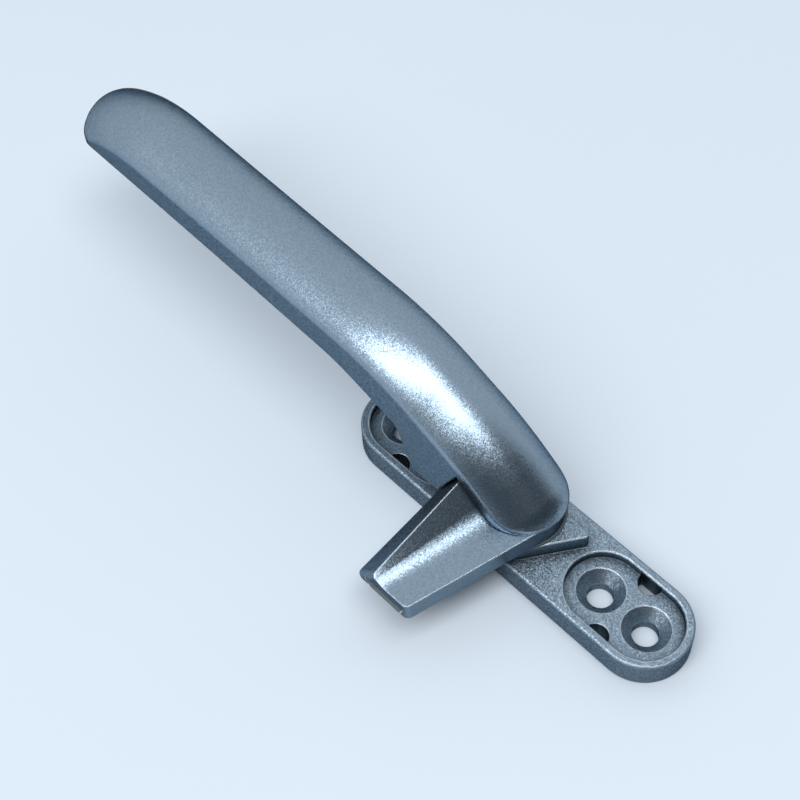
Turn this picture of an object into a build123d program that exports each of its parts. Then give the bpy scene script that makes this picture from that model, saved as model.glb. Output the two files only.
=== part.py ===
from build123d import *
import os
from math import radians, sqrt, tan

# Casement window handle with a cam tongue, closed position.
# Millimetres, +Z up. Origin: on the pivot axis, in the plane of the plate's back.
# The lever points to -X along the plate, the tongue points to -Y.

# Base plate
PLATE_LENGTH = 82.4
PLATE_WIDTH = 19.0
PLATE_THICKNESS = 6.4
PLATE_EDGE_RADIUS = 0.5
PLATE_BACK_CHAMFER = 0.3

# Fixing recess at each end of the plate, with two countersunk holes in it
RECESS_LENGTH = 25.4
RECESS_WIDTH = 15.5
RECESS_DEPTH = 1.9
RECESS_RIM_CHAMFER = 0.25
INNER_HOLE_X = 21.0
OUTER_HOLE_X = 32.4
SCREW_HOLE_DIAMETER = 5.3
COUNTERSINK_DIAMETER = 9.7
COUNTERSINK_ANGLE = 90.0

# Windows for the clips of a cover cap, cored from the back, half under the rim
CLIP_WINDOW_DIAMETER = 5.0
CLIP_UNDERCUT = 0.7
CLIP_LIP = 0.7

# Pivot boss of the plate: a trapezium with its wide side away from the tongue
BOSS_HEIGHT = 3.45
BOSS_WIDE_LENGTH = 27.9
BOSS_NARROW_LENGTH = 11.3
BOSS_WIDE_Y = 5.3
BOSS_NARROW_Y = -7.6
BOSS_CORNER_RADIUS = 0.9
BOSS_EDGE_RADIUS = 0.35

# Pivot pin and its washers
PIN_DIAMETER = 6.0
PIN_TENON_DIAMETER = 4.2
PIN_HEAD_DIAMETER = 6.6
PIN_HEAD_HEIGHT = 1.0
PIN_HEAD_SETBACK = 0.5
PIN_GRIP_IN_LEVER = 5.0
PIN_CHAMFER = 0.4
RETAINING_WASHER_DIAMETER = 11.0
RETAINING_WASHER_THICKNESS = 1.0
DISC_SPRING_DIAMETER = 11.0
DISC_SPRING_THICKNESS = 0.5
DISC_SPRING_DISH = 0.35
THRUST_WASHER_DIAMETER = 17.8
THRUST_WASHER_THICKNESS = 0.5
RUNNING_CLEARANCE = 0.05
PIN_SEAT_CLEARANCE = 0.01
AXIAL_PLAY = 0.05
COUNTERBORE_CLEARANCE = 0.5

# Cam tongue: hub disc with a scooped arm
HUB_DIAMETER = 16.9
HUB_HEIGHT = 4.6
KEY_WIDTH = 8.0
KEY_HEIGHT = 2.0
KEY_CORNER_RADIUS = 1.0
KEY_CLEARANCE = 0.05
TONGUE_REACH = 32.4
TONGUE_ROOT_Y = 5.0
TONGUE_TIP_RIGHT = 1.7
TONGUE_TIP_LEFT = -12.0
TONGUE_ROOT_LEFT = -14.3
TONGUE_RIDGE_ROOT_X = -8.8
TONGUE_RIDGE_ROOT_Z = 20.4
TONGUE_RIDGE_TIP_X = -7.5
TONGUE_RIDGE_TIP_Z = 15.6
TONGUE_EDGE_TIP_Z = 14.7
TONGUE_DRAFT = 0.2
SCOOP_ROOT_X = -1.0
SCOOP_ROOT_Z = 14.5
SCOOP_TIP_X = -4.8
SCOOP_TIP_Z = 14.4
SCOOP_RADIUS = 8.0
TONGUE_CORNER_RADIUS = 1.3
SCOOP_HEADROOM = 10.0

# Nylon wear pad, dovetailed into the tongue from its tip
PAD_CENTRE_X = -4.5
PAD_TOP_WIDTH = 9.6
PAD_FACE_WIDTH = 7.8
PAD_THICKNESS = 2.2
PAD_LENGTH = 11.0
PAD_PROUD = 0.35
PAD_SIDE_GAP = 0.35
PAD_SEAT_GAP = 0.1

# Lever
LEVER_HALF_WIDTH = 8.9
LEVER_WAIST_HALF_WIDTH = 8.65
LEVER_WAIST_X = -45.0
LEVER_TIP_X = -123.5
LEVER_TIP_HALF_WIDTH = 9.1
LEVER_END_BULGE = 3.4
LEVER_END_CORNER_RADIUS = 4.5
CROWN_RADIUS = 11.0
CROWN_HEEL_X = 0.0
CROWN_HEEL_Z = 22.9
CROWN_HEEL_SLOPE = 36.0
CROWN_SHOULDER_X = -6.0
CROWN_SHOULDER_SLOPE = 22.0
CROWN_SHOULDER_RADIUS = 60.0
CROWN_KNEE_X = -30.25
CROWN_KNEE_RADIUS = 62.0
CROWN_ARM_SLOPE = 2.1
CROWN_TIP_X = -114.5
CROWN_TIP_SLOPE = 34.0
CROWN_TIP_RADIUS = 39.0
DOME_CENTRE_X = -0.8
CREASE_RADIUS = 1.8
UNDERSIDE_TIP_Z = 30.2
UNDERSIDE_KNEE_X = -42.0
UNDERSIDE_KNEE_Z = 25.9
UNDERSIDE_KNEE_RADIUS = 40.0
NECK_TOP_X = -25.5
NECK_TOP_Z = 21.0
NECK_TOP_RADIUS = 3.0
NECK_FOOT_X = -21.1
CORE_WALL = 2.2
CORE_END_X = -33.0
CORE_CORNER_RADIUS = 3.0
JOINT_GAP = 0.25
HUB_GAP = 0.35
CREVICE_TOP_Z = 21.3
CREVICE_END_X = 0.5

# Heights that follow from the stack on the pivot
boss_top = PLATE_THICKNESS + BOSS_HEIGHT
hub_bottom = boss_top + THRUST_WASHER_THICKNESS + AXIAL_PLAY
hub_top = hub_bottom + HUB_HEIGHT
head_top = PIN_HEAD_SETBACK + PIN_HEAD_HEIGHT
washer_top = head_top + RETAINING_WASHER_THICKNESS
spring_height = DISC_SPRING_THICKNESS + DISC_SPRING_DISH
counterbore_depth = washer_top + spring_height
pin_top = hub_top + PIN_GRIP_IN_LEVER
pin_bore_radius = PIN_DIAMETER / 2 + RUNNING_CLEARANCE
hub_radius = HUB_DIAMETER / 2

# Cylinders stand on their lower end
STANDING = (Align.CENTER, Align.CENTER, Align.MIN)


def ring(outer_diameter, inner_radius, bottom, height):
    """Flat ring on the pivot axis."""
    disc = Circle(outer_diameter / 2) - Circle(inner_radius)
    return Pos(0, 0, bottom) * extrude(disc, height)


def base_plate():
    """Die-cast plate with its boss, fixing recesses, screw holes and clip windows."""
    plate = extrude(SlotOverall(PLATE_LENGTH, PLATE_WIDTH), PLATE_THICKNESS)
    plate = fillet(plate.edges().group_by(Axis.Z)[-1], PLATE_EDGE_RADIUS)
    plate = chamfer(plate.edges().group_by(Axis.Z)[0], PLATE_BACK_CHAMFER)
    plate += pivot_boss()
    recess_x = (INNER_HOLE_X + OUTER_HOLE_X) / 2
    for end in (-1, 1):
        plate -= Pos(end * recess_x, 0, 0) * fixing_recess()
        for hole_x in (INNER_HOLE_X, OUTER_HOLE_X):
            plate -= Pos(end * hole_x, 0, 0) * screw_hole()
        for side in (-1, 1):
            plate -= clip_window(end * recess_x, side)
    plate -= Cylinder(pin_bore_radius, boss_top, align=STANDING)
    counterbore_radius = RETAINING_WASHER_DIAMETER / 2 + COUNTERBORE_CLEARANCE
    plate -= Cylinder(counterbore_radius, counterbore_depth, align=STANDING)
    return plate


def pivot_boss():
    """Raised trapezium that carries the hub above the plate."""
    outline = Polygon(
        (-BOSS_NARROW_LENGTH / 2, BOSS_NARROW_Y),
        (BOSS_NARROW_LENGTH / 2, BOSS_NARROW_Y),
        (BOSS_WIDE_LENGTH / 2, BOSS_WIDE_Y),
        (-BOSS_WIDE_LENGTH / 2, BOSS_WIDE_Y),
        align=None,
    )
    outline = fillet(outline.vertices(), BOSS_CORNER_RADIUS)
    boss = extrude(outline, boss_top)
    return fillet(boss.edges().group_by(Axis.Z)[-1], BOSS_EDGE_RADIUS)


def fixing_recess():
    """Slot-shaped pocket with a chamfered rim, cut from the top of the plate."""
    outline = SlotOverall(RECESS_LENGTH, RECESS_WIDTH)
    pocket = Pos(0, 0, PLATE_THICKNESS - RECESS_DEPTH) * extrude(outline, RECESS_DEPTH)
    flare = 2 * RECESS_RIM_CHAMFER
    mouth = Pos(0, 0, RECESS_RIM_CHAMFER) * SlotOverall(RECESS_LENGTH + flare, RECESS_WIDTH + flare)
    rim = Pos(0, 0, PLATE_THICKNESS - RECESS_RIM_CHAMFER) * loft([outline, mouth], ruled=True)
    return pocket + rim


def screw_hole():
    """Countersunk hole, cut from the floor of a recess to the back of the plate."""
    floor = PLATE_THICKNESS - RECESS_DEPTH
    hole_radius = SCREW_HOLE_DIAMETER / 2
    rim_radius = COUNTERSINK_DIAMETER / 2
    cone_depth = (rim_radius - hole_radius) / tan(radians(COUNTERSINK_ANGLE / 2))
    half_section = Polygon(
        (0, 0),
        (hole_radius, 0),
        (hole_radius, floor - cone_depth),
        (rim_radius, floor),
        (0, floor),
        align=None,
    )
    return revolve(Plane.XZ * half_section, Axis.Z)


def clip_window(x, side):
    """Half-round window whose straight side runs a little way under the rim."""
    wall_y = RECESS_WIDTH / 2
    opening = Pos(x, side * wall_y) * Circle(CLIP_WINDOW_DIAMETER / 2)
    reach = Pos(x, 0) * Rectangle(CLIP_WINDOW_DIAMETER, 2 * (wall_y + CLIP_UNDERCUT))
    return extrude(opening & reach, PLATE_THICKNESS - CLIP_LIP)


def pivot_pin():
    """Shouldered steel pin: fixed in the lever, peened over the retaining washer."""
    shank = PIN_DIAMETER / 2
    tenon = PIN_TENON_DIAMETER / 2
    head = PIN_HEAD_DIAMETER / 2
    half_section = Polygon(
        (0, PIN_HEAD_SETBACK),
        (head - PIN_CHAMFER, PIN_HEAD_SETBACK),
        (head, PIN_HEAD_SETBACK + PIN_CHAMFER),
        (head, head_top),
        (tenon, head_top),
        (tenon, washer_top),
        (shank, washer_top),
        (shank, pin_top - PIN_CHAMFER),
        (shank - PIN_CHAMFER, pin_top),
        (0, pin_top),
        align=None,
    )
    return revolve(Plane.XZ * half_section, Axis.Z)


def retaining_washer():
    """Steel washer held against the pin's shoulder by the peened head."""
    inner_radius = PIN_TENON_DIAMETER / 2 + RUNNING_CLEARANCE
    return ring(RETAINING_WASHER_DIAMETER, inner_radius, head_top, RETAINING_WASHER_THICKNESS)


def disc_spring():
    """Dished spring washer that gives the lever its friction."""
    inner = pin_bore_radius + RUNNING_CLEARANCE
    outer = DISC_SPRING_DIAMETER / 2
    half_section = Polygon(
        (inner, washer_top + DISC_SPRING_DISH),
        (outer, washer_top),
        (outer, washer_top + DISC_SPRING_THICKNESS),
        (inner, washer_top + spring_height),
        align=None,
    )
    return revolve(Plane.XZ * half_section, Axis.Z)


def thrust_washer():
    """Thin nylon washer between the boss and the turning hub."""
    return ring(THRUST_WASHER_DIAMETER, pin_bore_radius, boss_top, THRUST_WASHER_THICKNESS)


def flank_tangent():
    """Point of the hub where the tongue's straight right side leaves it."""
    dx = TONGUE_TIP_RIGHT
    dy = -TONGUE_REACH
    distance_squared = dx * dx + dy * dy
    along = hub_radius * hub_radius / distance_squared
    across = hub_radius * sqrt(distance_squared - hub_radius * hub_radius) / distance_squared
    return Vector(along * dx - across * dy, along * dy + across * dx)


def root_section():
    """Corners of the tongue's section beside the hub, in X and Z."""
    tangent = flank_tangent()
    slope = (tangent.X - TONGUE_TIP_RIGHT) / (tangent.Y + TONGUE_REACH)
    right = tangent.X - slope * (tangent.Y + TONGUE_ROOT_Y)
    return {
        "left_foot": (TONGUE_ROOT_LEFT, hub_bottom),
        "ridge": (TONGUE_RIDGE_ROOT_X, TONGUE_RIDGE_ROOT_Z),
        "hollow": (SCOOP_ROOT_X, SCOOP_ROOT_Z),
        "edge": (right, hub_top),
        "right_foot": (right, hub_bottom),
    }


def tip_section():
    """Corners of the tongue's section at its tip, in X and Z."""
    return {
        "left_foot": (TONGUE_TIP_LEFT, hub_bottom),
        "ridge": (TONGUE_RIDGE_TIP_X, TONGUE_RIDGE_TIP_Z),
        "hollow": (SCOOP_TIP_X, SCOOP_TIP_Z),
        "edge": (TONGUE_TIP_RIGHT - TONGUE_DRAFT, TONGUE_EDGE_TIP_Z),
        "right_foot": (TONGUE_TIP_RIGHT, hub_bottom),
    }


def scoop_curve(section):
    """Upper outline of a section: down from the ridge, round the hollow, out to the right edge."""
    return FilletPolyline(section["ridge"], section["hollow"], section["edge"], radius=SCOOP_RADIUS)


def tongue_face(section):
    """Solid section of the tongue."""
    foot = Polyline(
        section["edge"], section["right_foot"], section["left_foot"], section["ridge"]
    )
    return make_face([scoop_curve(section), foot])


def scoop_face(section):
    """Empty space above the scooped top of the tongue."""
    ridge = section["ridge"]
    edge = section["edge"]
    ceiling = TONGUE_RIDGE_ROOT_Z + SCOOP_HEADROOM
    above = Polyline(edge, (edge[0], ceiling), (ridge[0], ceiling), ridge)
    return make_face([scoop_curve(section), above])


def between_root_and_tip(face_of):
    """Straight-ruled loft from the tongue's root to its tip."""
    root = Plane.XZ.offset(TONGUE_ROOT_Y) * face_of(root_section())
    tip = Plane.XZ.offset(TONGUE_REACH) * face_of(tip_section())
    return loft([root, tip], ruled=True)


def pad_section(side_gap, seat_gap):
    """Dovetail section, wider inside the tongue than at the wearing face."""
    face_z = hub_bottom - PAD_PROUD
    seat_z = face_z + PAD_THICKNESS + seat_gap
    top = PAD_TOP_WIDTH / 2 + side_gap
    face = PAD_FACE_WIDTH / 2 + side_gap
    return Polygon(
        (PAD_CENTRE_X - face, face_z),
        (PAD_CENTRE_X + face, face_z),
        (PAD_CENTRE_X + top, seat_z),
        (PAD_CENTRE_X - top, seat_z),
        align=None,
    )


def tongue_pad():
    """Nylon bar flush with the tip and a little proud of the tongue's underside."""
    return extrude(Plane.XZ.offset(TONGUE_REACH - PAD_LENGTH) * pad_section(0, 0), PAD_LENGTH)


def cam_tongue():
    """Casting that turns with the lever: hub disc, square key and scooped arm."""
    tangent = flank_tangent()
    wedge = Polygon(
        (0, 0),
        (0, -TONGUE_ROOT_Y),
        (root_section()["right_foot"][0], -TONGUE_ROOT_Y),
        (tangent.X, tangent.Y),
        align=None,
    )
    hub = Pos(0, 0, hub_bottom) * extrude(Circle(hub_radius) + wedge, HUB_HEIGHT)
    tongue = hub - between_root_and_tip(scoop_face) + between_root_and_tip(tongue_face)
    tip_edges = tongue.edges().filter_by(GeomType.LINE).group_by(Axis.Y)[0].sort_by(Axis.X)
    tongue = fillet([tip_edges[0], tip_edges[-1]], TONGUE_CORNER_RADIUS)
    tongue += Pos(0, 0, hub_top) * extrude(key_outline(0), KEY_HEIGHT)
    tongue -= Pos(0, 0, hub_bottom) * Cylinder(pin_bore_radius, pin_top, align=STANDING)
    slot_length = PAD_LENGTH + PAD_SEAT_GAP
    slot = Plane.XZ.offset(TONGUE_REACH - slot_length) * pad_section(PAD_SIDE_GAP, PAD_SEAT_GAP)
    return tongue - extrude(slot, slot_length)


def key_outline(clearance):
    """Square that keeps the tongue in line with the lever."""
    width = KEY_WIDTH + 2 * clearance
    return RectangleRounded(width, width, KEY_CORNER_RADIUS)


def lowered(points, distance):
    """Open polyline moved down, parallel to itself, by the given distance."""
    directions = [(end - start).normalized() for start, end in zip(points, points[1:])]
    normals = [Vector(-d.Y, d.X) for d in directions]
    moved = [points[0] - normals[0] * distance]
    for corner, before, after in zip(points[1:], normals, normals[1:]):
        moved.append(corner - (before + after) * (distance / (1 + before.dot(after))))
    moved.append(points[-1] - normals[-1] * distance)
    return moved


def crown_axis():
    """Centre line of the round bar whose skin is the lever's crown, from heel to tip."""
    heel_rise = (CROWN_HEEL_X - CROWN_SHOULDER_X) * tan(radians(CROWN_HEEL_SLOPE))
    shoulder_z = CROWN_HEEL_Z + heel_rise
    shoulder_rise = (CROWN_SHOULDER_X - CROWN_KNEE_X) * tan(radians(CROWN_SHOULDER_SLOPE))
    knee_z = shoulder_z + shoulder_rise
    tip_z = knee_z + (CROWN_KNEE_X - CROWN_TIP_X) * tan(radians(CROWN_ARM_SLOPE))
    end_x = LEVER_TIP_X - CROWN_RADIUS
    end_z = tip_z - (CROWN_TIP_X - end_x) * tan(radians(CROWN_TIP_SLOPE))
    top_line = [
        Vector(end_x, end_z),
        Vector(CROWN_TIP_X, tip_z),
        Vector(CROWN_KNEE_X, knee_z),
        Vector(CROWN_SHOULDER_X, shoulder_z),
        Vector(CROWN_HEEL_X, CROWN_HEEL_Z),
    ]
    end, tip, knee, shoulder, heel = lowered(top_line, CROWN_RADIUS)
    dome = heel + (heel - shoulder) * ((DOME_CENTRE_X - heel.X) / (heel.X - shoulder.X))
    bends = (CROWN_TIP_RADIUS, CROWN_KNEE_RADIUS, CROWN_SHOULDER_RADIUS)
    radii = [bend - CROWN_RADIUS for bend in bends]
    return FilletPolyline(end, tip, knee, shoulder, dome, radius=radii), dome


def crown(inset):
    """Round bar along the crown's centre line, with a domed heel and a body below it."""
    axis, dome = crown_axis()
    path = Plane.XZ * axis
    radius = CROWN_RADIUS - inset
    bar = sweep(Plane(path @ 0, z_dir=path % 0) * Circle(radius), path)
    bar += Pos(dome.X, 0, dome.Y) * Sphere(radius)
    start = axis @ 0
    below = Polyline((dome.X, dome.Y), (dome.X, 0), (start.X, 0), (start.X, start.Y))
    body = extrude(Plane.XZ * make_face([axis, below]), LEVER_TIP_HALF_WIDTH, both=True)
    return bar + body


def lever_outline(inset):
    """Plan of the lever: round heel about the pivot, slight waist, blunt rounded tip."""
    heel = LEVER_HALF_WIDTH - inset
    waist = LEVER_WAIST_HALF_WIDTH - inset
    tip = LEVER_TIP_HALF_WIDTH - inset
    end_x = LEVER_TIP_X + inset
    corner_x = end_x + LEVER_END_BULGE
    edges = [
        ThreePointArc((0, -heel), (heel, 0), (0, heel)),
        ThreePointArc((0, heel), (LEVER_WAIST_X, waist), (corner_x, tip)),
        ThreePointArc((corner_x, tip), (end_x, 0), (corner_x, -tip)),
        ThreePointArc((corner_x, -tip), (LEVER_WAIST_X, -waist), (0, -heel)),
    ]
    outline = make_face(edges)
    return fillet(outline.vertices().group_by(Axis.X)[0], LEVER_END_CORNER_RADIUS - inset)


def lever_underside():
    """Side view of all that lies below the lever: free space under arm, neck and heel."""
    arm_end = (LEVER_TIP_X - CROWN_RADIUS, UNDERSIDE_TIP_Z)
    knee = (UNDERSIDE_KNEE_X, UNDERSIDE_KNEE_Z)
    neck_top = (NECK_TOP_X, NECK_TOP_Z)
    neck_foot = (NECK_FOOT_X, hub_bottom)
    heel_end = LEVER_HALF_WIDTH + HUB_GAP
    edge = FilletPolyline(
        arm_end, knee, neck_top, neck_foot, radius=[UNDERSIDE_KNEE_RADIUS, NECK_TOP_RADIUS]
    )
    rest = Polyline(neck_foot, (heel_end, hub_bottom), (heel_end, 0), (arm_end[0], 0), arm_end)
    return extrude(Plane.XZ * make_face([edge, rest]), PLATE_WIDTH, both=True)


def tongue_notch():
    """Gap in the lever's left wall that the tongue passes through."""
    section = root_section()
    left = section["left_foot"][0] - JOINT_GAP
    floor = hub_bottom - JOINT_GAP
    outline = Polygon(
        (left, floor),
        (LEVER_HALF_WIDTH, floor),
        (LEVER_HALF_WIDTH, hub_top),
        (CREVICE_END_X, hub_top),
        (section["ridge"][0] - JOINT_GAP, CREVICE_TOP_Z),
        align=None,
    )
    start = TONGUE_ROOT_Y - JOINT_GAP
    return extrude(Plane.XZ.offset(start) * outline, PLATE_WIDTH - start)


def under_crown(outline, skin):
    """Upright prism over an outline, cut off at the top by the crown's skin."""
    return extrude(outline, skin.bounding_box().max.Z + CROWN_RADIUS) & skin


def arm_core():
    """Hollow cored into the arm from below, an even wall inside its outline and crown."""
    length = CORE_END_X - LEVER_TIP_X
    window = Pos((CORE_END_X + LEVER_TIP_X) / 2, 0) * Rectangle(length, PLATE_WIDTH)
    outline = lever_outline(CORE_WALL) & window
    corners = outline.vertices().group_by(Axis.X)[-1]
    return under_crown(fillet(corners, CORE_CORNER_RADIUS), crown(CORE_WALL))


def lever():
    """Die-cast lever: crowned arm cored from below, solid neck, heel seated on the hub."""
    blank = under_crown(lever_outline(0), crown(0))
    crease = blank.edges().filter_by(GeomType.BSPLINE)
    crease = crease.filter_by_position(Axis.Z, hub_bottom, blank.bounding_box().max.Z)
    blank = fillet(crease, CREASE_RADIUS)
    blank -= lever_underside()
    heel_space = Pos(LEVER_HALF_WIDTH, 0) * Rectangle(2 * LEVER_HALF_WIDTH, PLATE_WIDTH)
    hub_space = Circle(hub_radius + HUB_GAP) + heel_space
    blank -= Pos(0, 0, hub_bottom) * extrude(hub_space, HUB_HEIGHT)
    blank -= tongue_notch()
    blank -= arm_core()
    pocket_height = KEY_HEIGHT + KEY_CLEARANCE
    blank -= Pos(0, 0, hub_top) * extrude(key_outline(KEY_CLEARANCE), pocket_height)
    seat_radius = PIN_DIAMETER / 2 + PIN_SEAT_CLEARANCE
    blank -= Pos(0, 0, hub_top) * Cylinder(seat_radius, PIN_GRIP_IN_LEVER, align=STANDING)
    return blank


NODES = {
    "base_plate": base_plate,
    "lever": lever,
    "cam_tongue": cam_tongue,
    "tongue_pad": tongue_pad,
    "pivot_pin": pivot_pin,
    "thrust_washer": thrust_washer,
    "disc_spring": disc_spring,
    "retaining_washer": retaining_washer,
}

os.makedirs("parts", exist_ok=True)
for name, make in NODES.items():
    export_step(make(), f"parts/{name}.step")
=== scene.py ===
"""Dresses a packed casement window handle: silver-painted castings, steel and nylon on a pale floor."""
import math

import bmesh
import bpy
from bpy.props import FloatProperty, FloatVectorProperty, IntProperty, PointerProperty
from bpy.types import Operator, Panel, PropertyGroup
from mathutils import Matrix, Vector


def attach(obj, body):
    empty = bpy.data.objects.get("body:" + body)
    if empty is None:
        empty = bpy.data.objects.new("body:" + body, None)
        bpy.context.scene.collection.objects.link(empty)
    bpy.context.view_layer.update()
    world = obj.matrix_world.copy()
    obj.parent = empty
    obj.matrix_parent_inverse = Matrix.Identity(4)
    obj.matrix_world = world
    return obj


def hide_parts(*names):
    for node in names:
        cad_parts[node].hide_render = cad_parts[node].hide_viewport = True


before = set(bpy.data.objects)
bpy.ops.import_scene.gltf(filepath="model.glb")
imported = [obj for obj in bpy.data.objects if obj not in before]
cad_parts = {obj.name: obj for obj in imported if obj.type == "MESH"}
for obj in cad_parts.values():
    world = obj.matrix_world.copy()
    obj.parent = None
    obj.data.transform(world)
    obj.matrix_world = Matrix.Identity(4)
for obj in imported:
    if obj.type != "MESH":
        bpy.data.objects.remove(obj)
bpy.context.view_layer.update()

bl_info = {
    "name": "Casement Window Handle",
    "version": (1, 0, 0),
    "blender": (4, 5, 0),
    "location": "3D View > Sidebar > Handle",
    "description": "Paints a packed casement window handle and lights it on a pale floor",
    "category": "Object",
}

MILLIMETRE = 0.001
MERGE_DISTANCE = 0.0002 * MILLIMETRE
FLAT_ANGLE = math.radians(0.3)
ROUND_PROFILE = 0.5

FINEST_GRAIN = 0.05 * MILLIMETRE
NOISE_DETAIL = 2.0
NOISE_ROUGHNESS = 0.55
EDGE_SAMPLES = 4

PAINT_METALLIC = 0.97
LEVER_SHADE = 1.0
EDGE_STARTS_AT = 0.99
EDGE_FULL_AT = 0.90
CORNER_CLOSED_AT = 0.20
OUTER_STARTS_AT = 0.75
OUTER_FULL_AT = 0.95

NYLON_CLOUD_SIZE = 2.5 * MILLIMETRE
NYLON_SHADES = (0.88, 1.10)
NYLON_ROUGHNESS = (0.42, 0.55)
NYLON_GRAIN_SIZE = 0.3 * MILLIMETRE
NYLON_GRAIN_DEPTH = 0.004 * MILLIMETRE

STEEL_CLOUD_SIZE = 1.5 * MILLIMETRE
STEEL_SHADES = (0.85, 1.12)
STEEL_SMOOTHER = 0.06
STEEL_ROUGHER = 0.08
RING_WIDTH = 2.0 * MILLIMETRE
RING_DEPTH = 0.003 * MILLIMETRE
RING_DISTORTION = 1.5
PIN_ROUGHNESS = 0.30
WASHER_ROUGHNESS = 0.36
SPRING_ROUGHNESS = 0.34

FLOOR_GAP = 0.05 * MILLIMETRE
FLOOR_CLOUD_SIZE = 60.0 * MILLIMETRE
FLOOR_SHADES = (0.985, 1.0)
FLOOR_ROUGHNESS = 0.9
FLOOR_SPECULAR = 0.1
SENSOR_WIDTH = 36.0


class HandleFinish(PropertyGroup):
    """Colours and grains of the paint, the nylon and the steel, and the paint's painted corner shade
    and painted edge highlight.
    """

    paint_colour: FloatVectorProperty(
        name="Paint Colour",
        description="Silver of the painted castings, seen face on",
        subtype="COLOR",
        size=3,
        min=0.0,
        max=1.0,
        default=(0.270, 0.345, 0.415),
    )
    paint_flop: FloatVectorProperty(
        name="Paint Flop",
        description="Tint of the paint seen at a slant, where its flakes turn dark",
        subtype="COLOR",
        size=3,
        min=0.0,
        max=1.0,
        default=(0.02, 0.025, 0.03),
    )
    # Painted highlight: this bright colour is mixed into the paint along outer edges to stand for the
    # light they catch.
    edge_highlight_colour: FloatVectorProperty(
        name="Edge Highlight Colour",
        description="Bright colour painted on the outer edges as a highlight",
        subtype="COLOR",
        size=3,
        min=0.0,
        max=1.0,
        default=(0.76, 0.84, 0.92),
    )
    # Painted highlight: how far the outer edges are painted towards the bright highlight colour.
    edge_highlight: FloatProperty(
        name="Edge Highlight",
        description="How far the outer edges are painted towards the highlight colour",
        subtype="FACTOR",
        min=0.0,
        max=1.0,
        default=0.85,
    )
    # Painted shade: the paint's colour is darkened in corners and crevices, where shade falls.
    painted_corner_shade: FloatProperty(
        name="Corner Shade",
        description="How much of the paint's colour is left where a corner is quite closed in",
        subtype="FACTOR",
        min=0.0,
        max=1.0,
        default=0.10,
    )
    # Painted shade: how far from a corner the painted shade reaches.
    painted_shade_reach: FloatProperty(
        name="Corner Reach",
        description="How far from a corner the paint is darker",
        unit="LENGTH",
        min=0.0,
        default=3.0 * MILLIMETRE,
    )
    lever_roughness: FloatProperty(
        name="Lever Roughness",
        description="Softness of the paint's reflections on lever and tongue",
        subtype="FACTOR",
        min=0.0,
        max=1.0,
        default=0.29,
    )
    plate_roughness: FloatProperty(
        name="Plate Roughness",
        description="Softness of the paint's reflections on the plate",
        subtype="FACTOR",
        min=0.0,
        max=1.0,
        default=0.42,
    )
    flake_size: FloatProperty(
        name="Flake Size",
        description="Width of one metal flake in the paint",
        unit="LENGTH",
        min=FINEST_GRAIN,
        default=0.19 * MILLIMETRE,
    )
    plate_shade: FloatProperty(
        name="Plate Shade",
        description="How bright the paint of the plate is beside that of the lever",
        subtype="FACTOR",
        min=0.0,
        max=1.0,
        default=0.84,
    )
    lever_contrast: FloatProperty(
        name="Lever Contrast",
        description="How much lighter or darker one flake is than the paint of lever and tongue",
        subtype="FACTOR",
        min=0.0,
        max=1.0,
        default=0.14,
    )
    plate_contrast: FloatProperty(
        name="Plate Contrast",
        description="How much lighter or darker one flake is than the paint of the plate",
        subtype="FACTOR",
        min=0.0,
        max=1.0,
        default=0.34,
    )
    lever_sparkle: FloatProperty(
        name="Lever Sparkle",
        description="How far the flakes lean out of the surface of lever and tongue",
        min=0.0,
        max=1.0,
        default=0.11,
    )
    plate_sparkle: FloatProperty(
        name="Plate Sparkle",
        description="How far the flakes lean out of the surface of the plate",
        min=0.0,
        max=1.0,
        default=0.24,
    )
    peel_size: FloatProperty(
        name="Peel Size",
        description="Width of the paint's orange peel on lever and tongue",
        unit="LENGTH",
        min=FINEST_GRAIN,
        default=0.5 * MILLIMETRE,
    )
    peel_depth: FloatProperty(
        name="Peel Depth",
        description="Depth of the paint's orange peel on lever and tongue",
        unit="LENGTH",
        min=0.0,
        default=0.009 * MILLIMETRE,
    )
    cast_size: FloatProperty(
        name="Cast Grain Size",
        description="Width of the casting's grain that shows through the paint of the plate",
        unit="LENGTH",
        min=FINEST_GRAIN,
        default=0.26 * MILLIMETRE,
    )
    cast_depth: FloatProperty(
        name="Cast Grain Depth",
        description="Depth of the casting's grain on the plate",
        unit="LENGTH",
        min=0.0,
        default=0.017 * MILLIMETRE,
    )
    pad_colour: FloatVectorProperty(
        name="Pad Colour",
        description="Nylon of the tongue's wear pad",
        subtype="COLOR",
        size=3,
        min=0.0,
        max=1.0,
        default=(0.07, 0.08, 0.08),
    )
    washer_colour: FloatVectorProperty(
        name="Thrust Washer Colour",
        description="Nylon of the thin washer under the tongue's hub",
        subtype="COLOR",
        size=3,
        min=0.0,
        max=1.0,
        default=(0.07, 0.085, 0.10),
    )
    steel_colour: FloatVectorProperty(
        name="Steel Colour",
        description="Zinc-plated steel of the pin and its washer",
        subtype="COLOR",
        size=3,
        min=0.0,
        max=1.0,
        default=(0.52, 0.53, 0.55),
    )
    spring_colour: FloatVectorProperty(
        name="Spring Colour",
        description="Hardened steel of the disc spring",
        subtype="COLOR",
        size=3,
        min=0.0,
        max=1.0,
        default=(0.24, 0.25, 0.28),
    )


class HandleEdges(PropertyGroup):
    """How far the edges are eased by the mould and the paint."""

    casting_edge: FloatProperty(
        name="Casting Edge",
        description="Radius to which the paint rounds the edges of the castings",
        unit="LENGTH",
        min=0.0,
        default=0.40 * MILLIMETRE,
    )
    pad_edge: FloatProperty(
        name="Pad Edge",
        description="Width of the eased edges of the wear pad",
        unit="LENGTH",
        min=0.0,
        default=0.15 * MILLIMETRE,
    )
    edge_segments: IntProperty(
        name="Edge Segments",
        description="Strips of faces across an eased edge of the pad",
        min=1,
        default=2,
    )


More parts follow.
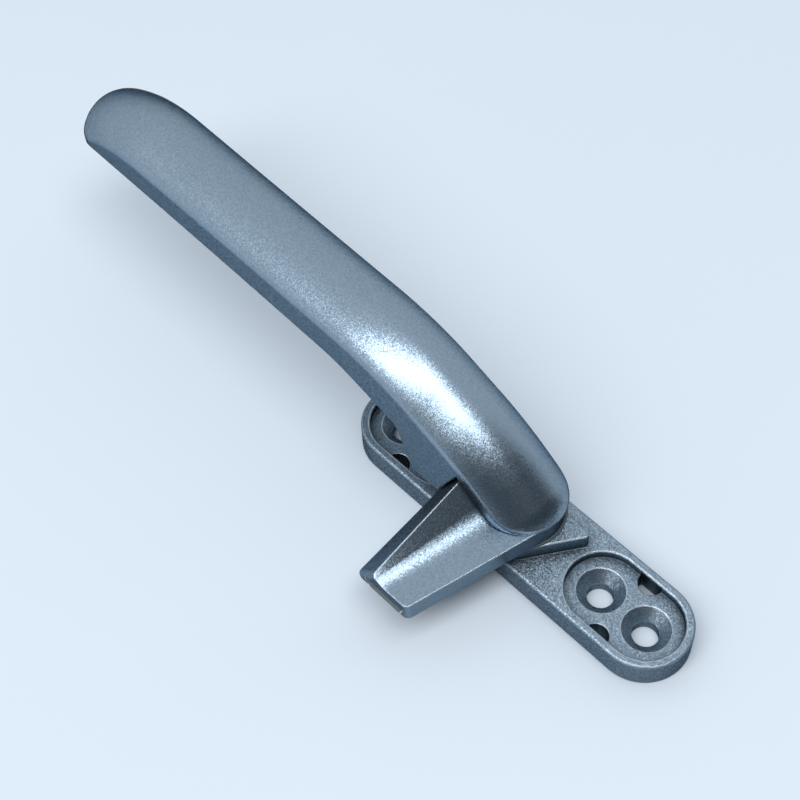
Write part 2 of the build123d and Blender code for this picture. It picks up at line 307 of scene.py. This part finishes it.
class HandleStage(PropertyGroup):
    """Floor, light and camera."""

    floor_colour: FloatVectorProperty(
        name="Floor Colour",
        description="Pale floor on which the handle lies",
        subtype="COLOR",
        size=3,
        min=0.0,
        max=1.0,
        default=(0.600, 0.660, 0.722),
    )
    floor_width: FloatProperty(
        name="Floor Width",
        description="Side of the square floor",
        unit="LENGTH",
        default=16.0,
    )
    room_colour: FloatVectorProperty(
        name="Room Colour",
        description="Even light of the room around the handle",
        subtype="COLOR",
        size=3,
        min=0.0,
        max=1.0,
        default=(0.76, 0.82, 0.88),
    )
    dark_colour: FloatVectorProperty(
        name="Dark Side Colour",
        description="Light that still comes from the dark side of the room",
        subtype="COLOR",
        size=3,
        min=0.0,
        max=1.0,
        default=(0.02, 0.03, 0.045),
    )
    dark_side: FloatVectorProperty(
        name="Dark Side",
        description="Direction of the dark side of the room",
        subtype="DIRECTION",
        size=3,
        default=(0.97, -0.24, 0.0),
    )
    dark_from: FloatProperty(
        name="Dark Side Start",
        description="Cosine of the angle from the dark side at which the room begins to darken",
        default=0.12,
    )
    dark_to: FloatProperty(
        name="Dark Side End",
        description="Cosine of the angle from the dark side at which the room is darkest",
        default=0.54,
    )
    softbox_place: FloatVectorProperty(
        name="Softbox Place",
        description="Centre of the softbox above the handle",
        subtype="TRANSLATION",
        size=3,
        default=(0.05, -0.885, 1.50),
    )
    softbox_width: FloatProperty(
        name="Softbox Width",
        description="Long side of the softbox",
        unit="LENGTH",
        default=2.62,
    )
    softbox_depth: FloatProperty(
        name="Softbox Depth",
        description="Short side of the softbox",
        unit="LENGTH",
        default=0.76,
    )
    softbox_turn: FloatProperty(
        name="Softbox Turn",
        description="Turn of the softbox's long side about the upright, away from the plate's length",
        unit="ROTATION",
        default=math.radians(67.5),
    )
    softbox_power: FloatProperty(
        name="Softbox Power",
        description="Power of the softbox in watts",
        unit="POWER",
        default=29.5,
    )
    camera_place: FloatVectorProperty(
        name="Camera Place",
        description="Place of the camera",
        subtype="TRANSLATION",
        size=3,
        default=(0.10533, -0.12220, 0.28566),
    )
    camera_target: FloatVectorProperty(
        name="Camera Target",
        description="Point that the camera looks at",
        subtype="TRANSLATION",
        size=3,
        default=(-0.02967, -0.00356, 0.020),
    )
    camera_roll: FloatProperty(
        name="Camera Roll",
        description="Turn of the camera about its line of sight",
        unit="ROTATION",
        default=math.radians(-3.22),
    )
    camera_lens: FloatProperty(
        name="Camera Lens",
        description="Focal length of the camera in millimetres",
        default=74.246,
    )


def painted(node, material):
    """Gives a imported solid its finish."""
    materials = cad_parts[node].data.materials
    materials.clear()
    materials.append(material)


def eased_pad(context, edges):
    """The wear pad with its edges eased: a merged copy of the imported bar, bevelled."""
    bm = bmesh.new()
    bm.from_mesh(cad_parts["tongue_pad"].data)
    bmesh.ops.remove_doubles(bm, verts=bm.verts, dist=MERGE_DISTANCE)
    bmesh.ops.dissolve_limit(
        bm,
        angle_limit=FLAT_ANGLE,
        verts=bm.verts,
        edges=bm.edges,
        delimit=set(),
    )
    bmesh.ops.bevel(
        bm,
        geom=bm.edges,
        offset=edges.pad_edge,
        offset_type="OFFSET",
        affect="EDGES",
        segments=edges.edge_segments,
        profile=ROUND_PROFILE,
        material=-1,
    )
    mesh = bpy.data.meshes.new("wear_pad")
    bm.to_mesh(mesh)
    bm.free()
    pad = bpy.data.objects.new("wear_pad", mesh)
    context.scene.collection.objects.link(pad)
    return pad


def shader_tree(name):
    """A new material with its tree and shader."""
    material = bpy.data.materials.new(name)
    material.use_nodes = True
    tree = material.node_tree
    shader = tree.nodes["Principled BSDF"]
    return material, tree, shader


def add_node(tree, kind, operation=None, **values):
    """A node with the given operation and the given input values."""
    node = tree.nodes.new(kind)
    if operation:
        node.operation = operation
    for key, value in values.items():
        node.inputs[key.replace("_", " ")].default_value = value
    return node


def object_place(tree):
    """Socket with the place on the object, in metres."""
    return tree.nodes.new("ShaderNodeTexCoord").outputs["Object"]


def noise_height(tree, place, size):
    """Socket with a soft random height whose bumps are about as wide as size."""
    noise = add_node(
        tree,
        "ShaderNodeTexNoise",
        Scale=1.0 / size,
        Detail=NOISE_DETAIL,
        Roughness=NOISE_ROUGHNESS,
    )
    tree.links.new(place, noise.inputs["Vector"])
    return noise.outputs["Fac"]


def bump_from(tree, height, depth, normal=None):
    """Socket with the normal of a surface that the height dents by depth, over the given normal."""
    bump = add_node(tree, "ShaderNodeBump", Strength=1.0, Distance=depth)
    tree.links.new(height, bump.inputs["Height"])
    if normal is not None:
        tree.links.new(normal, bump.inputs["Normal"])
    return bump.outputs["Normal"]


def spread(tree, value, low, high, start=0.0, end=1.0):
    """Socket that goes from low to high as the value goes from start to end."""
    ramp = add_node(
        tree,
        "ShaderNodeMapRange",
        From_Min=start,
        From_Max=end,
        To_Min=low,
        To_Max=high,
    )
    tree.links.new(value, ramp.inputs["Value"])
    return ramp.outputs["Result"]


def product(tree, first, second):
    """Socket with the product of two values."""
    times = add_node(tree, "ShaderNodeMath", "MULTIPLY")
    tree.links.new(first, times.inputs[0])
    tree.links.new(second, times.inputs[1])
    return times.outputs["Value"]


def mix_towards(tree, colour, share):
    """A mix of colours, its input A still open, that reaches the given colour where share is 1."""
    mix = tree.nodes.new("ShaderNodeMix")
    mix.data_type = "RGBA"
    mix.inputs["B"].default_value = (*colour, 1.0)
    tree.links.new(share, mix.inputs["Factor"])
    return mix


def shaded_colour(tree, colour, factor):
    """Socket with the colour made lighter or darker by factor."""
    scale = add_node(tree, "ShaderNodeVectorMath", "SCALE", Vector=colour)
    tree.links.new(factor, scale.inputs["Scale"])
    return scale.outputs["Vector"]


def eased_normal(tree, radius):
    """Socket with the normal of a surface whose edges are rounded to radius."""
    eased = add_node(tree, "ShaderNodeBevel", Radius=radius)
    eased.samples = EDGE_SAMPLES
    return eased.outputs["Normal"]


def edge_share(tree, eased):
    """Socket that is 0 on a face and rises to 1 where the eased normal leaves the face's own."""
    alike = add_node(tree, "ShaderNodeVectorMath", "DOT_PRODUCT")
    tree.links.new(eased, alike.inputs[0])
    tree.links.new(tree.nodes.new("ShaderNodeNewGeometry").outputs["Normal"], alike.inputs[1])
    return spread(tree, alike.outputs["Value"], 0.0, 1.0, EDGE_STARTS_AT, EDGE_FULL_AT)


def openness(tree, reach):
    """Socket that is 1 on an open face and falls towards 0 in corners and crevices."""
    shade = add_node(tree, "ShaderNodeAmbientOcclusion", Distance=reach)
    shade.samples = EDGE_SAMPLES
    shade.only_local = True
    return shade.outputs["AO"]


def paint_with_painted_light(tree, finish, flake, eased):
    """Socket with the paint's colour: uneven between flakes, with painted shade in corners and a
    painted highlight on outer edges.
    """
    open_share = openness(tree, finish.painted_shade_reach)
    # Painted shade: the paint is darkened where ambient occlusion finds a corner.
    corner = spread(tree, open_share, finish.painted_corner_shade, 1.0, CORNER_CLOSED_AT)
    paint = shaded_colour(tree, finish.paint_colour, product(tree, flake, corner))
    # Painted highlight: outer edges are mixed towards a bright colour that stands for the light they
    # catch.
    outer = spread(tree, open_share, 0.0, finish.edge_highlight, OUTER_STARTS_AT, OUTER_FULL_AT)
    painted_highlight = product(tree, edge_share(tree, eased), outer)
    mix = mix_towards(tree, finish.edge_highlight_colour, painted_highlight)
    tree.links.new(paint, mix.inputs["A"])
    return mix.outputs["Result"]


def leaning_flakes(tree, place, size, tilt):
    """Sockets with each flake's lean out of the surface and its random brightness."""
    flakes = add_node(tree, "ShaderNodeTexVoronoi", Scale=1.0 / size)
    tree.links.new(place, flakes.inputs["Vector"])
    centred = add_node(tree, "ShaderNodeVectorMath", "SUBTRACT")
    centred.inputs[1].default_value = (0.5, 0.5, 0.5)
    tree.links.new(flakes.outputs["Color"], centred.inputs[0])
    lean = add_node(tree, "ShaderNodeVectorMath", "SCALE", Scale=tilt)
    tree.links.new(centred.outputs["Vector"], lean.inputs[0])
    parts = tree.nodes.new("ShaderNodeSeparateColor")
    tree.links.new(flakes.outputs["Color"], parts.inputs["Color"])
    return lean.outputs["Vector"], parts.outputs["Red"]


def silver_paint(name, context, shade, roughness, contrast, sparkle, grain_size, grain_depth):
    """Silver paint whose flakes lean each its own way, over orange peel or a casting's grain."""
    finish = context.scene.handle_finish
    material, tree, shader = shader_tree(name)
    place = object_place(tree)
    lean, brightness = leaning_flakes(tree, place, finish.flake_size, sparkle)
    eased = eased_normal(tree, context.scene.handle_edges.casting_edge)
    grain = bump_from(tree, noise_height(tree, place, grain_size), grain_depth, eased)
    leaning = add_node(tree, "ShaderNodeVectorMath", "ADD")
    tree.links.new(grain, leaning.inputs[0])
    tree.links.new(lean, leaning.inputs[1])
    normal = add_node(tree, "ShaderNodeVectorMath", "NORMALIZE")
    tree.links.new(leaning.outputs["Vector"], normal.inputs[0])
    tree.links.new(normal.outputs["Vector"], shader.inputs["Normal"])
    flake = spread(tree, brightness, shade * (1.0 - contrast), shade * (1.0 + contrast))
    # Base colour: flake tone with painted shade in corners and a painted highlight on outer edges.
    tree.links.new(paint_with_painted_light(tree, finish, flake, eased), shader.inputs["Base Color"])
    shader.inputs["Metallic"].default_value = PAINT_METALLIC
    shader.inputs["Roughness"].default_value = roughness
    shader.inputs["Specular Tint"].default_value = (*finish.paint_flop, 1.0)
    return material


def moulded_nylon(name, colour):
    """Nylon with a soft sheen and the faint unevenness of a moulding."""
    material, tree, shader = shader_tree(name)
    place = object_place(tree)
    cloud = noise_height(tree, place, NYLON_CLOUD_SIZE)
    factor = spread(tree, cloud, *NYLON_SHADES)
    tree.links.new(shaded_colour(tree, colour, factor), shader.inputs["Base Color"])
    tree.links.new(spread(tree, cloud, *NYLON_ROUGHNESS), shader.inputs["Roughness"])
    grain = noise_height(tree, place, NYLON_GRAIN_SIZE)
    tree.links.new(bump_from(tree, grain, NYLON_GRAIN_DEPTH), shader.inputs["Normal"])
    return material


def turned_steel(name, colour, roughness):
    """Steel with the fine rings of a lathe about the pivot."""
    material, tree, shader = shader_tree(name)
    place = object_place(tree)
    rings = add_node(
        tree,
        "ShaderNodeTexWave",
        Scale=1.0 / RING_WIDTH,
        Distortion=RING_DISTORTION,
        Detail=NOISE_DETAIL,
    )
    rings.wave_type = "RINGS"
    rings.rings_direction = "Z"
    tree.links.new(place, rings.inputs["Vector"])
    cloud = noise_height(tree, place, STEEL_CLOUD_SIZE)
    factor = spread(tree, cloud, *STEEL_SHADES)
    tree.links.new(shaded_colour(tree, colour, factor), shader.inputs["Base Color"])
    uneven = spread(tree, cloud, roughness - STEEL_SMOOTHER, roughness + STEEL_ROUGHER)
    tree.links.new(uneven, shader.inputs["Roughness"])
    tree.links.new(bump_from(tree, rings.outputs["Fac"], RING_DEPTH), shader.inputs["Normal"])
    shader.inputs["Metallic"].default_value = 1.0
    return material


class HANDLE_OT_base_plate(Operator):
    """Paint the cast plate with its boss, recesses and countersunk holes"""

    bl_idname = "handle.base_plate"
    bl_label = "Base Plate"

    def execute(self, context):
        finish = context.scene.handle_finish
        paint = silver_paint(
            "silver paint on cast grain",
            context,
            finish.plate_shade,
            finish.plate_roughness,
            finish.plate_contrast,
            finish.plate_sparkle,
            finish.cast_size,
            finish.cast_depth,
        )
        painted("base_plate", paint)
        return {"FINISHED"}


class HANDLE_OT_lever_and_tongue(Operator):
    """Paint the crowned lever and the scooped tongue"""

    bl_idname = "handle.lever_and_tongue"
    bl_label = "Lever and Tongue"

    def execute(self, context):
        finish = context.scene.handle_finish
        paint = silver_paint(
            "silver paint of the lever",
            context,
            LEVER_SHADE,
            finish.lever_roughness,
            finish.lever_contrast,
            finish.lever_sparkle,
            finish.peel_size,
            finish.peel_depth,
        )
        painted("lever", paint)
        painted("cam_tongue", paint)
        return {"FINISHED"}


class HANDLE_OT_tongue_pad(Operator):
    """Make the nylon wear pad under the tongue"""

    bl_idname = "handle.tongue_pad"
    bl_label = "Tongue Pad"

    def execute(self, context):
        scene = context.scene
        pad = eased_pad(context, scene.handle_edges)
        pad.data.materials.append(moulded_nylon("nylon of the pad", scene.handle_finish.pad_colour))
        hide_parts("tongue_pad")
        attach(pad, "handle")
        return {"FINISHED"}


class HANDLE_OT_pivot_hardware(Operator):
    """Finish the pin, the washers and the spring that hold the lever in the plate"""

    bl_idname = "handle.pivot_hardware"
    bl_label = "Pivot Hardware"

    def execute(self, context):
        finish = context.scene.handle_finish
        steels = (
            ("pivot_pin", "plated steel of the pin", finish.steel_colour, PIN_ROUGHNESS),
            ("retaining_washer", "plated steel of the washer", finish.steel_colour, WASHER_ROUGHNESS),
            ("disc_spring", "hardened steel of the spring", finish.spring_colour, SPRING_ROUGHNESS),
        )
        for node, name, colour, roughness in steels:
            painted(node, turned_steel(name, colour, roughness))
        painted("thrust_washer", moulded_nylon("nylon of the washer", finish.washer_colour))
        return {"FINISHED"}


def pale_floor(stage):
    """The floor's paper: pale, matt and faintly uneven."""
    material, tree, shader = shader_tree("pale paper of the floor")
    cloud = noise_height(tree, object_place(tree), FLOOR_CLOUD_SIZE)
    factor = spread(tree, cloud, *FLOOR_SHADES)
    tree.links.new(shaded_colour(tree, stage.floor_colour, factor), shader.inputs["Base Color"])
    shader.inputs["Roughness"].default_value = FLOOR_ROUGHNESS
    shader.inputs["Specular IOR Level"].default_value = FLOOR_SPECULAR
    return material


def lay_floor(context, stage):
    """A wide floor just under the plate's back."""
    bm = bmesh.new()
    bmesh.ops.create_grid(bm, x_segments=1, y_segments=1, size=stage.floor_width / 2)
    bmesh.ops.translate(bm, verts=bm.verts, vec=(0.0, 0.0, -FLOOR_GAP))
    mesh = bpy.data.meshes.new("floor")
    bm.to_mesh(mesh)
    bm.free()
    mesh.materials.append(pale_floor(stage))
    floor = bpy.data.objects.new("floor", mesh)
    context.scene.collection.objects.link(floor)


def pointed(place, target, roll):
    """Matrix of a camera that looks from place to target, turned by roll."""
    look = (Vector(target) - Vector(place)).to_track_quat("-Z", "Y").to_matrix().to_4x4()
    return Matrix.Translation(Vector(place)) @ look @ Matrix.Rotation(roll, 4, "Z")


def hang_softbox(context, stage):
    """One long soft lamp above the handle that shines straight down."""
    lamp = bpy.data.lights.new("softbox", "AREA")
    lamp.shape = "RECTANGLE"
    lamp.size = stage.softbox_width
    lamp.size_y = stage.softbox_depth
    lamp.energy = stage.softbox_power
    softbox = bpy.data.objects.new("softbox", lamp)
    turn = Matrix.Rotation(stage.softbox_turn, 4, "Z")
    softbox.matrix_world = Matrix.Translation(stage.softbox_place) @ turn
    context.scene.collection.objects.link(softbox)


def light_room(context, stage):
    """Even light from all round, with a darker side of the room beyond the heel."""
    world = bpy.data.worlds.new("room")
    world.use_nodes = True
    tree = world.node_tree
    direction = tree.nodes.new("ShaderNodeTexCoord").outputs["Generated"]
    facing = add_node(tree, "ShaderNodeVectorMath", "DOT_PRODUCT")
    facing.inputs[1].default_value = Vector(stage.dark_side).normalized()
    tree.links.new(direction, facing.inputs[0])
    darkening = add_node(
        tree,
        "ShaderNodeMapRange",
        From_Min=stage.dark_from,
        From_Max=stage.dark_to,
    )
    darkening.interpolation_type = "SMOOTHSTEP"
    tree.links.new(facing.outputs["Value"], darkening.inputs["Value"])
    mix = mix_towards(tree, stage.dark_colour, darkening.outputs["Result"])
    mix.inputs["A"].default_value = (*stage.room_colour, 1.0)
    tree.links.new(mix.outputs["Result"], tree.nodes["Background"].inputs["Color"])
    context.scene.world = world


def set_camera(context, stage):
    """The camera at the angle of the photograph."""
    lens = bpy.data.cameras.new("camera")
    lens.lens = stage.camera_lens
    lens.sensor_width = SENSOR_WIDTH
    camera = bpy.data.objects.new("camera", lens)
    camera.matrix_world = pointed(stage.camera_place, stage.camera_target, stage.camera_roll)
    context.scene.collection.objects.link(camera)
    context.scene.camera = camera


class HANDLE_OT_stage(Operator):
    """Lay the floor, light it and set the camera"""

    bl_idname = "handle.stage"
    bl_label = "Stage"

    def execute(self, context):
        stage = context.scene.handle_stage
        lay_floor(context, stage)
        hang_softbox(context, stage)
        light_room(context, stage)
        set_camera(context, stage)
        context.scene.view_settings.view_transform = "Standard"
        return {"FINISHED"}


PIECE_OPERATORS = (
    HANDLE_OT_base_plate,
    HANDLE_OT_lever_and_tongue,
    HANDLE_OT_tongue_pad,
    HANDLE_OT_pivot_hardware,
    HANDLE_OT_stage,
)


class HANDLE_PT_sidebar(Panel):
    """Lists the handle's settings and the steps that make it"""

    bl_label = "Casement Handle"
    bl_idname = "HANDLE_PT_sidebar"
    bl_space_type = "VIEW_3D"
    bl_region_type = "UI"
    bl_category = "Handle"

    def draw(self, context):
        scene = context.scene
        for settings in (scene.handle_finish, scene.handle_edges, scene.handle_stage):
            box = self.layout.box()
            for name in settings.__annotations__:
                box.prop(settings, name)
        for operator in PIECE_OPERATORS:
            self.layout.operator(operator.bl_idname)


CLASSES = (HandleFinish, HandleEdges, HandleStage, *PIECE_OPERATORS, HANDLE_PT_sidebar)


def register():
    """Registers the classes and hangs the settings on the scene."""
    for cls in CLASSES:
        bpy.utils.register_class(cls)
    bpy.types.Scene.handle_finish = PointerProperty(type=HandleFinish)
    bpy.types.Scene.handle_edges = PointerProperty(type=HandleEdges)
    bpy.types.Scene.handle_stage = PointerProperty(type=HandleStage)


def unregister():
    """Takes the settings and the classes away again."""
    del bpy.types.Scene.handle_stage
    del bpy.types.Scene.handle_edges
    del bpy.types.Scene.handle_finish
    for cls in reversed(CLASSES):
        bpy.utils.unregister_class(cls)


def main():
    """Dresses the handle and sets the stage."""
    register()
    bpy.ops.handle.base_plate()
    bpy.ops.handle.lever_and_tongue()
    bpy.ops.handle.tongue_pad()
    bpy.ops.handle.pivot_hardware()
    bpy.ops.handle.stage()


if __name__ == "__main__":
    main()
